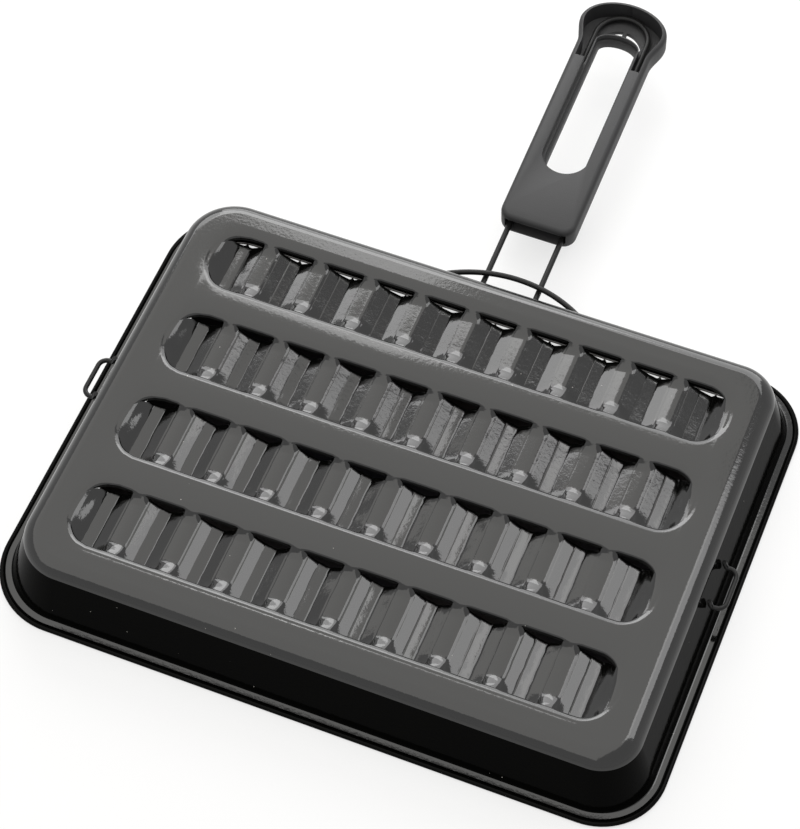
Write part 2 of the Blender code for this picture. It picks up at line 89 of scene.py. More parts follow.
class GrillPlateSizes(bpy.types.PropertyGroup):
    """Sizes of the pressed plate."""

    rows: IntProperty(name="Troughs", description="Number of troughs", default=4, min=1)
    waves: IntProperty(name="Waves", description="Waves along each trough", default=10, min=2)
    wave: length("Wave", "Length of one wave", 0.0220)
    near_lip: length("Near lip", "From a trough's line to its nearer lip", 0.0142)
    far_lip: length("Far lip", "From a trough's line to its farther lip", 0.0160)
    rear_far_lip: length("Rear far lip", "The same for the rear trough", 0.0144)
    row_land: length("Land", "Flat land between two troughs", 0.0129)
    foot: length("Wall run", "How far a trough's wall leans in from its lip", 0.0012)
    crest: length("Crest depth", "Depth of a wave's crest", 0.0032)
    sill: length("Wall depth", "Depth of the wall's lower edge over a slot", 0.0021)
    sag: length("Sag", "How far a valley sags between its two slots", 0.0003)
    crease: length("Crease", "Depth of the fine creases along the folds", 0.00011)
    crease_half: length("Crease half width", "Half of a crease's width", 0.00017)
    bridge_near: length("Near bridge", "Place of a crest's nearer bridge, from its valley", 0.0106)
    bridge_far: length("Far bridge", "Place of a crest's farther bridge, from its valley", 0.0096)
    near_half: length("Near half", "Half width of a nearer bridge", 0.0052)
    near_fade: length("Near fade", "Over how much of its width a nearer bridge fades", 0.0036)
    far_half: length("Far half", "Half width of a farther bridge", 0.0044)
    far_fade: length("Far fade", "Over how much of its width a farther bridge fades", 0.0024)
    step: length("Step", "Depth of the step at a nearer lip's bridge", 0.0013)
    valley: length("Valley depth", "Depth of a wave's valley", 0.0060)
    draw_in: length("Draw-in", "How far a slot's lower edge stands in from the wall", 0.0007)
    dip: length("Dip", "How far a lip dips under the flat land", 0.00055)
    dip_run: length("Dip run", "Over which run the land dips towards a lip", 0.0019)
    overrun: length("Overrun", "From the last valley to the trough's end", 0.0115)
    end_round: length("End round", "Length of a trough's rounded end", 0.0125)
    edge_land: length("Edge land", "Flat land beyond the outer troughs", 0.0090)
    end_land: length("End land", "Flat land beyond a trough's end", 0.0080)
    corner_left: length("Left corner", "Corner radius of the flat top on the left", 0.0148)
    corner_right: length("Right corner", "Corner radius of the flat top on the right", 0.0108)
    corner_growth: FloatProperty(
        name="Corner growth", description="Growth of the corner radius over the distance out", default=0.85
    )
    sheet: length("Sheet", "Thickness of the pressed sheet", 0.0010)
    shoulder: length("Shoulder", "Radius between the top and the skirt", 0.0070)
    draft: incline("Draft", "Lean of the skirt", 17.0)
    fillet: length("Foot fillet", "Radius between the skirt and the flange", 0.0010)
    flange: length("Flange", "Width of the flat flange", 0.00171)
    flange_depth: length("Flange depth", "Depth of the flange's top face", 0.0259)


class GrillBaseSizes(bpy.types.PropertyGroup):
    """Sizes of what lies under the plate."""

    gap: length("Gap", "Clearance between pieces that touch", 0.0003)
    ring_sheet: length("Ring sheet", "Thickness of the ring's ledge", 0.0008)
    bead: length("Bead", "Radius of the ring's rolled bead", 0.00107)
    ledge: length("Ledge", "Width of the ring's ledge", 0.0114)
    binding: length("Binding", "Width of the strip that binds the net", 0.0050)
    binding_seat: length("Binding seat", "How much of the strip lies on the ledge", 0.0036)
    binding_height: length("Binding height", "Height of the strip", 0.0016)
    net_wire: length("Net wire", "Radius of the net's wire", 0.00046)
    net_pitch: length("Net pitch", "Distance between the net's wires", 0.0056)


class GrillHandleSizes(bpy.types.PropertyGroup):
    """Sizes of the handle and of the wire loops."""

    tilt: incline("Tilt", "Rise of the handle", 4.0)
    side: length("Offset", "How far the handle sits to the right", 0.00575)
    depth: length("Depth", "Depth of the handle's wires at the skirt", 0.0162)
    wire: length("Wire", "Radius of the handle's wire", 0.0012)
    spread: length("Spread", "Distance between the two wires", 0.0229)
    prong: length("Prong", "Length of the wires inside the skirt", 0.0360)
    grip_start: length("Grip start", "From the skirt to the grip", 0.0338)
    grip_half: length("Grip half width", "Half of the grip's width", 0.0164)
    above: length("Above", "Height of the grip over its wires", 0.00694)
    below: length("Below", "Height of the grip under its wires", 0.0042)
    wall: length("Wall", "Wall of the moulding", 0.0020)
    edge: length("Edge", "Rounding of the grip's edges", 0.0022)
    corner: length("Corner", "Corner radius at the grip's start", 0.0055)
    neck: length("Neck", "Length of the grip's straight part", 0.0962)
    flare: length("Flare", "Length over which the head widens", 0.0130)
    head_half: length("Head half width", "Half of the head's width", 0.0194)
    head_round: length("Head round", "Length of the head's rounded end", 0.0135)
    slot_inset: length("Slot inset", "From the grip's start to its slot", 0.0302)
    slot_half: length("Slot half width", "Half of the slot's width", 0.0083)
    slot_length: length("Slot length", "Length of the slot", 0.0752)
    slot_step: length("Slot step", "Width of the steps down into the slot", 0.0020)
    slot_wall: length("Slot wall", "Wall round the slot's end", 0.0016)
    opening: length("Opening", "How far the through openings reach past the slot's wall", 0.0062)
    rib: length("Rib", "Half of the rib between the through openings", 0.0008)
    step_above: length("Step height", "Height of the step over the wires", 0.0030)
    tray_start: length("Tray start", "From the grip's start to the open tray", 0.0885)
    mouth_wall: length("Mouth wall", "Side wall of the mouth", 0.0030)
    side_wire: length("Side wire", "Radius of the side loops' wire", 0.0010)
    side_depth: length("Side depth", "Depth of the side loops", 0.0135)
    side_half: length("Side half", "Half of a side loop's width", 0.0092)
    side_reach: length("Side reach", "How far a side loop stands out", 0.0064)
    side_corner: length("Side corner", "Bend radius of a side loop", 0.0035)
    rear_wire: length("Rear wire", "Radius of the rear loop's wire", 0.00115)
    rear_x: length("Rear offset", "How far the rear loop sits to the right", 0.0077)
    rear_radius: length("Rear radius", "Bend radius of the rear loop", 0.0554)
    rear_reach: length("Rear reach", "How far the rear loop stands out", 0.0090)


class GrillFinish(bpy.types.PropertyGroup):
    """Colours of the finishes."""

    enamel: colour("Enamel", "Black vitreous enamel", (0.0022, 0.0022, 0.0020))
    wire: colour("Wire coat", "Coated wire", (0.009, 0.009, 0.009))
    steel: colour("Net steel", "Plain steel of the net", (0.16, 0.155, 0.15))
    heated: colour("Heated steel", "Heat darkened sheet", (0.075, 0.068, 0.062))
    grip: colour("Grip", "Dark grey moulding", (0.024, 0.024, 0.025))
    specks: colour("Specks", "Pale specks in the enamel", (0.30, 0.29, 0.27))
    floor: colour("Floor", "Pale floor", (0.93, 0.93, 0.93))
    dust: BoolProperty(name="Dust", description="Fine pale specks on the enamel", default=True)


# Selection and modelling helpers


def drop_selection():
    """Leaves nothing selected, in object mode."""
    if bpy.context.object and bpy.context.object.mode != "OBJECT":
        bpy.ops.object.mode_set(mode="OBJECT")
    bpy.ops.object.select_all(action="DESELECT")


def make_active(piece):
    """Selects one piece alone."""
    drop_selection()
    piece.select_set(True)
    bpy.context.view_layer.objects.active = piece


def edit(piece, kind="VERT"):
    """Selects one piece alone with nothing of its mesh selected, and sets what edit mode selects by."""
    make_active(piece)
    bpy.ops.object.mode_set(mode="EDIT")
    bpy.ops.mesh.select_mode(type=kind)
    bpy.ops.mesh.select_all(action="DESELECT")
    leave_edit()


def pick(elements, wanted):
    """Selects the elements of a mesh for which wanted is true, then opens edit mode."""
    for index, element in enumerate(elements):
        element.select = bool(wanted(index, element))
    bpy.ops.object.mode_set(mode="EDIT")


def edit_whole(piece):
    """Opens one piece in edit mode with all of it selected."""
    make_active(piece)
    bpy.ops.object.mode_set(mode="EDIT")
    bpy.ops.mesh.select_all(action="SELECT")


def leave_edit():
    """Goes back to object mode."""
    bpy.ops.object.mode_set(mode="OBJECT")


def face_outwards():
    """Turns all faces of the piece in edit mode outwards, and leaves edit mode."""
    bpy.ops.mesh.select_all(action="SELECT")
    bpy.ops.mesh.normals_make_consistent(inside=False)
    leave_edit()


def arc(center_x, center_y, radius_x, radius_y, start, end, steps):
    """Points along an elliptic arc, both ends included."""
    points = []
    for step in range(steps + 1):
        angle = start + (end - start) * step / steps
        points.append((center_x + radius_x * math.cos(angle), center_y + radius_y * math.sin(angle)))
    return points


def smooth(value):
    """An even rise from 0 to 1."""
    value = min(1.0, max(0.0, value))
    return value * value * (3 - 2 * value)


def solid_from_outline(outline, low, high):
    """A filled ring of points, extruded from low to high."""
    drop_selection()
    bpy.ops.mesh.primitive_circle_add(vertices=len(outline), radius=1.0, fill_type="NGON")
    piece = bpy.context.object
    for vertex, (x, y) in zip(piece.data.vertices, outline):
        vertex.co = (x, y, low)
    edit_whole(piece)
    bpy.ops.mesh.extrude_region_move(TRANSFORM_OT_translate={"value": (0, 0, high - low)})
    face_outwards()
    return piece


def modify(piece, kind, **settings):
    """Gives a piece a modifier with these settings, and applies it."""
    make_active(piece)
    modifier = piece.modifiers.new(kind.title(), kind)
    for key, value in settings.items():
        setattr(modifier, key, value)
    bpy.ops.object.modifier_apply(modifier=modifier.name)


def cut(piece, cutter):
    """Cuts a piece by another, which is then removed."""
    modify(piece, "BOOLEAN", operation="DIFFERENCE", object=cutter, solver="EXACT")
    bpy.data.objects.remove(cutter, do_unlink=True)


def bend_wire(routes, radius, resolution=5):
    """Round wires along routes of points, as one mesh with closed ends."""
    drop_selection()
    bpy.ops.curve.primitive_nurbs_path_add(location=(0, 0, 0))
    piece = bpy.context.object
    curve = piece.data
    curve.splines.clear()
    curve.bevel_depth = radius
    curve.bevel_resolution = resolution
    curve.use_fill_caps = True
    for route in routes:
        spline = curve.splines.new("POLY")
        spline.points.add(len(route) - 1)
        for point, spot in zip(spline.points, route):
            point.co = (*spot, 1)
    bpy.ops.object.convert(target="MESH")
    edit_whole(piece)
    bpy.ops.mesh.remove_doubles(threshold=0.00001)
    face_outwards()
    return piece


def dress(piece, name, body, node, finishes, angle):
    """Names, smooths, finishes and seats a piece that stands for a node."""
    make_active(piece)
    piece.name = name
    piece.data.name = name
    bpy.ops.object.shade_smooth_by_angle(angle=math.radians(angle))
    piece.data.materials.clear()
    for finish in finishes:
        piece.data.materials.append(finish)
    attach(piece, body)
    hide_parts(node)
    drop_selection()


# Material helpers


def place(tree, kind, *feeds, **values):
    """A node with some of its settings and inputs. A value that is another node's socket is linked."""
    node = tree.nodes.new(kind)
    inputs = list(enumerate(feeds))
    for key, value in values.items():
        label = key.replace("_", " ")
        if label in node.inputs:
            inputs.append((label, value))
        else:
            setattr(node, key, value)
    for key, value in inputs:
        if isinstance(value, bpy.types.NodeSocket):
            tree.links.new(value, node.inputs[key])
        else:
            node.inputs[key].default_value = value
    return node


def calculate(tree, operation, first, second):
    """The result of a math node."""
    return place(tree, "ShaderNodeMath", first, second, operation=operation).outputs[0]


def new_group(name, inputs, outputs):
    """A node group with float sockets, the sockets it is given, and the object's coordinates in it."""
    group = bpy.data.node_groups.new(name, "ShaderNodeTree")
    for label, default in inputs.items():
        socket = group.interface.new_socket(name=label, in_out="INPUT", socket_type="NodeSocketFloat")
        socket.default_value = default
    for label in outputs:
        group.interface.new_socket(name=label, in_out="OUTPUT", socket_type="NodeSocketFloat")
    given = place(group, "NodeGroupInput").outputs
    return group, given, place(group, "ShaderNodeTexCoord").outputs["Object"]


def ripple_group():
    """Uneven fired surface: long swells and fine orange peel, as one height in metres, and broad patches."""
    name = "Fired ripple"
    if name in bpy.data.node_groups:
        return bpy.data.node_groups[name]
    inputs = {"Swell": 0.00002, "Peel": 0.000004, "Peel scale": 420.0}
    group, given, where = new_group(name, inputs, ["Height", "Patch"])
    peel_scale = given["Peel scale"]
    swell = place(group, "ShaderNodeTexNoise", Vector=where, Scale=45.0, Detail=1.5)
    peel = place(group, "ShaderNodeTexNoise", Vector=where, Scale=peel_scale, Detail=2.5, Roughness=0.6)
    patch = place(group, "ShaderNodeTexNoise", Vector=where, Scale=14.0, Detail=3.0)
    high = calculate(group, "MULTIPLY", swell.outputs["Fac"], given["Swell"])
    fine = calculate(group, "MULTIPLY", peel.outputs["Fac"], given["Peel"])
    height = calculate(group, "ADD", high, fine)
    place(group, "NodeGroupOutput", Height=height, Patch=patch.outputs["Fac"])
    return group


def speck_group():
    """Sparse small specks as a mask."""
    name = "Specks"
    if name in bpy.data.node_groups:
        return bpy.data.node_groups[name]
    group, given, where = new_group(name, {"Scale": 160.0, "Size": 0.06, "Share": 0.1}, ["Mask"])
    cells = place(group, "ShaderNodeTexVoronoi", Vector=where, Scale=given["Scale"])
    parts = place(group, "ShaderNodeSeparateColor", cells.outputs["Color"])
    near = calculate(group, "LESS_THAN", cells.outputs["Distance"], given["Size"])
    chosen = calculate(group, "LESS_THAN", parts.outputs[0], given["Share"])
    place(group, "NodeGroupOutput", Mask=calculate(group, "MULTIPLY", near, chosen))
    return group


def start_material(name, **constants):
    """A material with some constant values on its shader, its tree and its shader."""
    material = bpy.data.materials.new(name)
    material.use_nodes = True
    shader = material.node_tree.nodes["Principled BSDF"]
    for key, value in constants.items():
        shader.inputs[key.replace("_", " ")].default_value = value
    return material, material.node_tree, shader


def ripple_bump(tree, shader, swell, peel, peel_scale):
    """Gives a shader the fired ripple's bump, and returns the ripple's patches."""
    group = ripple_group()
    ripple = place(tree, "ShaderNodeGroup", node_tree=group, Swell=swell, Peel=peel, Peel_scale=peel_scale)
    bump = place(tree, "ShaderNodeBump", Strength=1.0, Distance=1.0, Height=ripple.outputs["Height"])
    tree.links.new(bump.outputs["Normal"], shader.inputs["Normal"])
    return ripple.outputs["Patch"]


def vary(tree, shader, colours, colour_share, roughness, roughness_share):
    """Blends the shader's colour and its roughness, each between two values by a share."""
    tone = place(tree, "ShaderNodeMix", colour_share, data_type="RGBA")
    for socket, value in zip(tone.inputs[6:8], colours):
        socket.default_value = (*value, 1)
    rough = place(tree, "ShaderNodeMapRange", roughness_share, To_Min=roughness[0], To_Max=roughness[1])
    tree.links.new(tone.outputs[2], shader.inputs["Base Color"])
    tree.links.new(rough.outputs[0], shader.inputs["Roughness"])


def enamel_material(name, index=1.55):
    """Black fired enamel: glossy, uneven, with a few pale specks."""
    finish = bpy.context.scene.grill_finish
    # A low index gives a copy of this enamel that reflects less. The skirt and the ring use such copies as
    # painted shade.
    material, tree, shader = start_material(name, IOR=index)
    patches = ripple_bump(tree, shader, 0.00005, 0.00003, 620.0)
    share = 0.16 if finish.dust else 0.0
    specks = place(tree, "ShaderNodeGroup", node_tree=speck_group(), Scale=190.0, Size=0.045, Share=share)
    vary(tree, shader, (finish.enamel, finish.specks), specks.outputs["Mask"], (0.05, 0.12), patches)
    return material


def wire_material():
    """Black coated wire, half glossy."""
    name = "black_wire_coat"
    if name in bpy.data.materials:
        return bpy.data.materials[name]
    black = bpy.context.scene.grill_finish.wire
    material, tree, shader = start_material(name, IOR=1.25)
    patches = ripple_bump(tree, shader, 0.00001, 0.000012, 900.0)
    vary(tree, shader, (black, [2.2 * part for part in black]), patches, (0.22, 0.42), patches)
    return material


def steel_material(name, base, tint, roughness):
    """Bare steel with heat tint in patches."""
    material, tree, shader = start_material(name, Metallic=1.0)
    patches = ripple_bump(tree, shader, 0.00003, 0.000010, 1400.0)
    tinted = place(tree, "ShaderNodeMapRange", patches, From_Min=0.35, From_Max=0.65).outputs[0]
    vary(tree, shader, (base, tint), tinted, (roughness, roughness + 0.2), tinted)
    return material


def grip_material():
    """Dark grey moulded plastic with a fine spark-eroded grain."""
    grey = bpy.context.scene.grill_finish.grip
    material, tree, shader = start_material("grained_grip", IOR=1.35)
    patches = ripple_bump(tree, shader, 0.00002, 0.00006, 2300.0)
    tones = [[share * part for part in grey] for share in (0.88, 1.12)]
    vary(tree, shader, tones, patches, (0.46, 0.58), patches)
    return material


# Plate outline


class Plan:
    """Half sizes and levels that follow from the sizes of the plate and of what lies under it."""

    def __init__(self):
        sizes = bpy.context.scene.grill_plate
        base = bpy.context.scene.grill_base
        self.sizes = sizes
        self.base = base
        self.handle = bpy.context.scene.grill_handle
        self.last_valley = (sizes.waves - 1) / 2 * sizes.wave
        self.pitch = sizes.near_lip + sizes.far_lip + sizes.row_land
        self.end = self.last_valley + sizes.overrun
        self.half_x = self.end + sizes.end_land
        self.half_y = (sizes.rows - 1) / 2 * self.pitch + sizes.near_lip + sizes.edge_land
        self.steepest = math.pi / 2 - sizes.draft
        self.shoulder_out = sizes.shoulder * math.sin(self.steepest)
        self.shoulder_drop = sizes.shoulder * (1 - math.cos(self.steepest))
        fillet_out = sizes.fillet * math.sin(self.steepest)
        fillet_drop = sizes.fillet * (1 - math.cos(self.steepest))
        skirt_drop = sizes.flange_depth - self.shoulder_drop - fillet_drop
        self.edge_out = self.shoulder_out + skirt_drop * math.tan(sizes.draft) + fillet_out + sizes.flange
        self.bead_out = self.edge_out + base.gap + base.bead
        self.ring_top = -(sizes.flange_depth + sizes.sheet + base.gap)
        self.ring_bottom = self.ring_top - base.ring_sheet
        self.net_low = self.ring_top + base.gap
        self.net_high = self.net_low + base.binding_height
        self.binding_out = self.bead_out - base.ledge + base.binding_seat
        self.binding_in = self.binding_out - base.binding

    def lips(self, row):
        """Where a trough's nearer and farther lip run."""
        line = (row - (self.sizes.rows - 1) / 2) * self.pitch
        far_lip = self.sizes.rear_far_lip if row == self.sizes.rows - 1 else self.sizes.far_lip
        return line - self.sizes.near_lip, line + far_lip

    def rounded(self, x, y):
        """Draws a point of the square sheet in, so that the sheet's corners come out round."""
        radius = self.radius(x, 0)
        over_x = (abs(x) - (self.half_x - radius)) / radius
        over_y = (abs(y) - (self.half_y - radius)) / radius
        if over_x > 0 and over_y > 0:
            x = math.copysign(self.half_x - radius + radius * over_x * math.sqrt(1 - over_y**2 / 2), x)
            y = math.copysign(self.half_y - radius + radius * over_y * math.sqrt(1 - over_x**2 / 2), y)
        return x, y

    def skirt_out(self, depth):
        """How far the skirt stands out from the flat top's edge at this depth."""
        return self.shoulder_out + (depth - self.shoulder_drop) * math.tan(self.sizes.draft)

    def radius(self, x, outward):
        """The corner radius on this side at this distance out."""
        start = self.sizes.corner_right if x > 0 else self.sizes.corner_left
        return start + self.sizes.corner_growth * outward

    def moved_out(self, x, y, outward):
        """Carries a point of the flat top's edge outwards, along its own part of the outline."""
        side_x = 1 if x > 0 else -1
        side_y = 1 if y > 0 else -1
        after = self.radius(x, outward)
        straight_x = self.half_x - self.radius(x, 0)
        straight_y = self.half_y - self.radius(x, 0)
        next_x = self.half_x + outward - after
        next_y = self.half_y + outward - after
        over_x = abs(x) - straight_x
        over_y = abs(y) - straight_y
        if over_x > 1e-7 and over_y > 1e-7:
            angle = math.atan2(over_y, over_x)
            return side_x * (next_x + after * math.cos(angle)), side_y * (next_y + after * math.sin(angle))
        if over_x > over_y:
            return side_x * (self.half_x + outward), y * next_y / straight_y
        return x * next_x / straight_x, side_y * (self.half_y + outward)

    def edge_loop(self, corner_steps, side_step):
        """The flat top's edge as a ring of points."""
        points = []
        corners = []
        for corner, (side_x, side_y) in enumerate(((1, 1), (-1, 1), (-1, -1), (1, -1))):
            radius = self.radius(side_x, 0)
            center_x = side_x * (self.half_x - radius)
            center_y = side_y * (self.half_y - radius)
            start = corner * math.pi / 2
            corners.append(arc(center_x, center_y, radius, radius, start, start + math.pi / 2, corner_steps))
        for corner, turn in enumerate(corners):
            points.extend(turn)
            start = Vector(turn[-1])
            end = Vector(corners[(corner + 1) % 4][0])
            steps = max(1, round((end - start).length / side_step))
            points.extend(tuple(start.lerp(end, step / steps)) for step in range(1, steps))
        return points


def extrude_rings(piece, plan, start_ring, profile):
    """Extrudes a ring of vertices again and again through (outward, height) points.

    start_ring maps each vertex index to its point on the flat top's edge.
    """
    ring = dict(start_ring)
    for outward, height in profile:
        edit(piece)
        pick(piece.data.vertices, lambda index, vertex: index in ring)
        leave_edit()
        vertices = piece.data.vertices
        count = len(vertices)
        starts = {spot_key(vertices[index].co): start for index, start in ring.items()}
        bpy.ops.object.mode_set(mode="EDIT")
        bpy.ops.mesh.extrude_edges_move()
        leave_edit()
        ring = {}
        for vertex in piece.data.vertices[count:]:
            ring[vertex.index] = starts[spot_key(vertex.co)]
            vertex.co = (*plan.moved_out(*ring[vertex.index], outward), height)
    return ring


def spot_key(spot):
    """A point rounded to a micrometre, to find it again after an operator."""
    return tuple(round(part, 6) for part in spot)


def thin_out(piece, plan, ring):
    """Dissolves most points of a ring where it runs straight."""
    kept_share = 7
    kept = {}
    dropped = set()
    for count, (index, start) in enumerate(ring.items(), 1):
        straight = plan.radius(start[0], 0) + 1e-6
        in_corner = abs(start[0]) > plan.half_x - straight and abs(start[1]) > plan.half_y - straight
        if in_corner or count % kept_share == 0:
            kept[spot_key(piece.data.vertices[index].co)] = start
        else:
            dropped.add(index)
    edit(piece)
    pick(piece.data.vertices, lambda index, vertex: index in dropped)
    bpy.ops.mesh.dissolve_verts()
    leave_edit()
    return {v.index: kept[spot_key(v.co)] for v in piece.data.vertices if spot_key(v.co) in kept}


# The pressed plate


# The folds' places along one wave, from its valley, and the runs between places with the floor's slope
# at each run's start and end
FOLDS = (-0.0079, -0.0033, 0.0013, 0.0065)
SLOPES = (
    (-0.0079, 0.33, -0.0033, 0.33),
    (-0.0033, 0.27, 0.0013, 0.13),
    (0.0013, -0.3575, 0.0065, -0.3575),
    (0.0065, -0.27, 0.0095, -0.19),
    (0.0095, -0.19, 0.0120, 0.0),
    (0.0120, 0.0, 0.0141, 0.33),
)

# The grid's lines across the plate, by their distance in from the edge or from a trough's lip
EDGE_LINES = (0.0, 0.0010, 0.0022, 0.0034, 0.0048, 0.0060)
NEAR_LINES = (-0.0024, -0.0015, -0.0012, -0.0009, -0.0004)
FAR_LINES = (-0.0020, -0.0008)
WALL_LINES = (0.0, 0.0003, 0.0006, 0.00085, 0.00105)
FLOOR_LINES = (0.0017, 0.0024, 0.0033, 0.0044, 0.0056, 0.0069, 0.0087, 0.0115)

# The lines along the plate: from each valley, as shares of a trough's end, and beyond that end
WAVE_LINES = (-0.0100, -0.0090, -0.0072, -0.0040, -0.0026, 0.0006)
WAVE_LINES += (0.0020, 0.0058, 0.0072, 0.0083, 0.0095, 0.0108)
END_SHARES = (0.12, 0.22, 0.32, 0.42, 0.52, 0.61, 0.70, 0.78, 0.85, 0.91, 0.96, 1.0)
BEYOND_LINES = (0.0004, 0.0009, 0.0012, 0.0015, 0.0024, 0.0034, 0.0044, 0.0054, 0.0064, 0.0072)

# Runs in from a trough's lip: where a valley's sag fades, how far outside the lip its roll starts, where a
# bridge's floor starts and over which run it falls, on the farther and the nearer side, over which run a
# slot's lower edge is drawn in, and where a crease starts and over which run it grows
SAG_FADE = 0.0045
ROLL_START = 0.0005
FAR_START, FAR_FALL = -0.0006, 0.0052
NEAR_START, NEAR_FALL = 0.0012, 0.0058
DRAW_RUN = 0.0060
CREASE_START, CREASE_GROWTH = 0.0008, 0.0025

# Shares at a trough's end: its least width, where its own shape starts and over which share it comes in,
# and how far the floor's rise to the end bows
LEAST_WIDTH = 0.5
ENDING_START, ENDING_RUN = 0.45, 0.45
RISE_BOW = 0.35

# A faint raised line just outside a lip, and how far a fold wanders from its straight line
WELT_HEIGHT, WELT_PLACE, WELT_WIDTH = 0.00006, 0.0012, 0.00035
WANDER = 0.00028


def fall_along(offset):
    """How far a trough's floor has fallen at this place along a wave, from the first fold on."""
    fallen = 0.0
    for start, slope, end, last_slope in SLOPES:
        run = min(offset, end) - start
        if run <= 0:
            break
        change = (last_slope - slope) / (end - start)
        fallen += slope * run + change * run * run / 2
    return fallen


def wave_depth(plan, x):
    """The floor's depth and the place along its wave. Past the last fold the floor rises to the end."""
    sizes = plan.sizes
    wave = min(sizes.waves - 1, max(0, round((x + plan.last_valley) / sizes.wave)))
    offset = x + plan.last_valley - wave * sizes.wave
    last_fold = FOLDS[1] if x < 0 else FOLDS[2]
    at_end = wave in (0, sizes.waves - 1) and abs(offset) > abs(last_fold) and offset * x > 0
    if at_end:
        share = min(1.0, (abs(offset) - abs(last_fold)) / (sizes.overrun - abs(last_fold)))
        left = 1 - (1 + RISE_BOW) * share + RISE_BOW * share**2
        return (sizes.crest + fall_along(last_fold)) * left, offset
    from_fold = offset + sizes.wave if offset < FOLDS[0] else offset
    return sizes.crest + fall_along(from_fold), offset


def across_lines(plan):
    """The lines across the plate: trough, side, distance in from the lip and kind, or None and y on land."""
    sizes = plan.sizes
    lines = [(None, 0, inset - plan.half_y, "land") for inset in EDGE_LINES]
    for row in range(sizes.rows):
        near, far = plan.lips(row)
        if row:
            lines.append((None, 0, near - sizes.row_land / 2, "land"))
        for side, outside in ((-1, NEAR_LINES), (1, FAR_LINES)):
            one_side = [(row, side, inset, "wall") for inset in (*outside, *WALL_LINES, sizes.foot)]
            one_side += [(row, side, inset, "floor") for inset in (sizes.foot, *FLOOR_LINES)]
            if side < 0:
                one_side.append((row, side, (far - near) / 2, "floor"))
            lines.extend(one_side if side < 0 else reversed(one_side))
    lines.extend((None, 0, plan.half_y - inset, "land") for inset in reversed(EDGE_LINES))
    return lines


def along_lines(plan):
    """The places of the lines along the plate, each with the fold that it marks, or None."""
    sizes = plan.sizes
    places = {}
    for wave in range(sizes.waves):
        valley = wave * sizes.wave - plan.last_valley
        for offset in WAVE_LINES:
            if abs(valley + offset) < plan.last_valley + 0.0010:
                places[valley + offset] = None
        for number, fold in enumerate(FOLDS):
            if abs(valley + fold) < plan.last_valley + 0.0040:
                for step in (-1, 0, 1):
                    places[valley + fold + step * sizes.crease_half] = (wave, number, step)
    for sign, last_fold in ((-1, -FOLDS[1]), (1, FOLDS[2])):
        for share in END_SHARES:
            places[sign * (plan.last_valley + last_fold + (sizes.overrun - last_fold) * share)] = None
        for beyond in BEYOND_LINES:
            places[sign * (plan.end + beyond)] = None
        places[sign * plan.half_x] = None
    return sorted(places.items())


def crease_share(row, fold):
    """How strong a crease is, which differs from one to the next."""
    wave, number, _ = fold
    return 0.45 + 0.55 * abs(noise.noise(Vector((wave * 3.7 + number * 1.9, row * 2.3, 0.5)))) ** 0.5


def bridge_share(sizes, offset, nearer):
    """How much of a bridge between two slots there is at this place along a wave, on one side."""
    center, half, fade = sizes.bridge_far, sizes.far_half, sizes.far_fade
    if nearer:
        center, half, fade = sizes.bridge_near, sizes.near_half, sizes.near_fade
    return smooth((half - abs((offset - center + sizes.wave / 2) % sizes.wave - sizes.wave / 2)) / fade)


def press(plan, x, line, fold):
    """Where a point of the flat sheet lies once it is pressed, and how much of a crease runs there."""
    sizes = plan.sizes
    row, side, inset, kind = line
    near, far = plan.lips(row)
    half = (far - near) / 2
    middle = (far + near) / 2
    into_end = max(0.0, abs(x) - (plan.end - sizes.end_round)) / sizes.end_round
    held = max(math.sqrt(max(0.0, 1 - into_end**2)), LEAST_WIDTH)
    beyond = abs(x) - plan.end
    if beyond > 0:
        held = LEAST_WIDTH + (1 - LEAST_WIDTH) * smooth(beyond / (sizes.end_land * 0.9))
    if inset <= sizes.foot:
        y = middle + side * (half * held - inset)
    else:
        share = (half - inset) / (half - sizes.foot)
        y = middle + side * (half * held - sizes.foot) * share
    over = (y - middle) / half
    reach = math.hypot(into_end, over)
    endward = (into_end / reach) ** 2 if reach else 0.0
    within = (1 - reach) * (half * (1 - endward) + sizes.end_round * endward)
    floor, offset = wave_depth(plan, x)
    deep = min(1.0, max(0.0, (floor - sizes.crest) / (sizes.valley - sizes.crest)))
    floor += sizes.sag * deep * (1 - max(0.0, 1 - within / SAG_FADE) ** 2)
    nearer = y < middle
    bridge = bridge_share(sizes, offset, nearer)
    ending = smooth((into_end - ENDING_START) / ENDING_RUN)
    soft = 1 - (1 - bridge) * (1 - ending)
    along = min(1.0, max(0.0, (inset + ROLL_START) / (sizes.foot + ROLL_START)))
    roll = 1 - math.sqrt(1 - along**2)
    bridged = floor * smooth((within - FAR_START) / FAR_FALL)
    if nearer:
        share = min(1.0, max(0.0, (within - NEAR_START) / NEAR_FALL))
        stepped = sizes.step * roll + (floor - sizes.step) * (share + smooth(share)) / 2
        bridged = stepped * (1 - ending) + bridged * ending
    steep = min(floor, sizes.sill) * roll if kind == "wall" else floor
    depth = steep * (1 - soft) + bridged * soft
    depth += sizes.dip * math.exp(min(0.0, within) / sizes.dip_run)
    depth -= WELT_HEIGHT * math.exp(-(((within + WELT_PLACE) / WELT_WIDTH) ** 2))
    if kind == "floor":
        drawn = sizes.draw_in * deep * (1 - bridge) * (1 - ending)
        y -= side * drawn * max(0.0, 1 - (inset - sizes.foot) / DRAW_RUN)
    crease = 0.0
    if fold and kind == "floor":
        wander = noise.noise(Vector((y * 520, fold[1] * 7.1 + fold[0] * 3.3, row * 5.7)))
        x += WANDER * wander * smooth(within / 0.0020)
        if fold[2] == 0:
            crease = crease_share(row, fold) * smooth((within - CREASE_START) / CREASE_GROWTH)
    return (x, y, -depth), crease


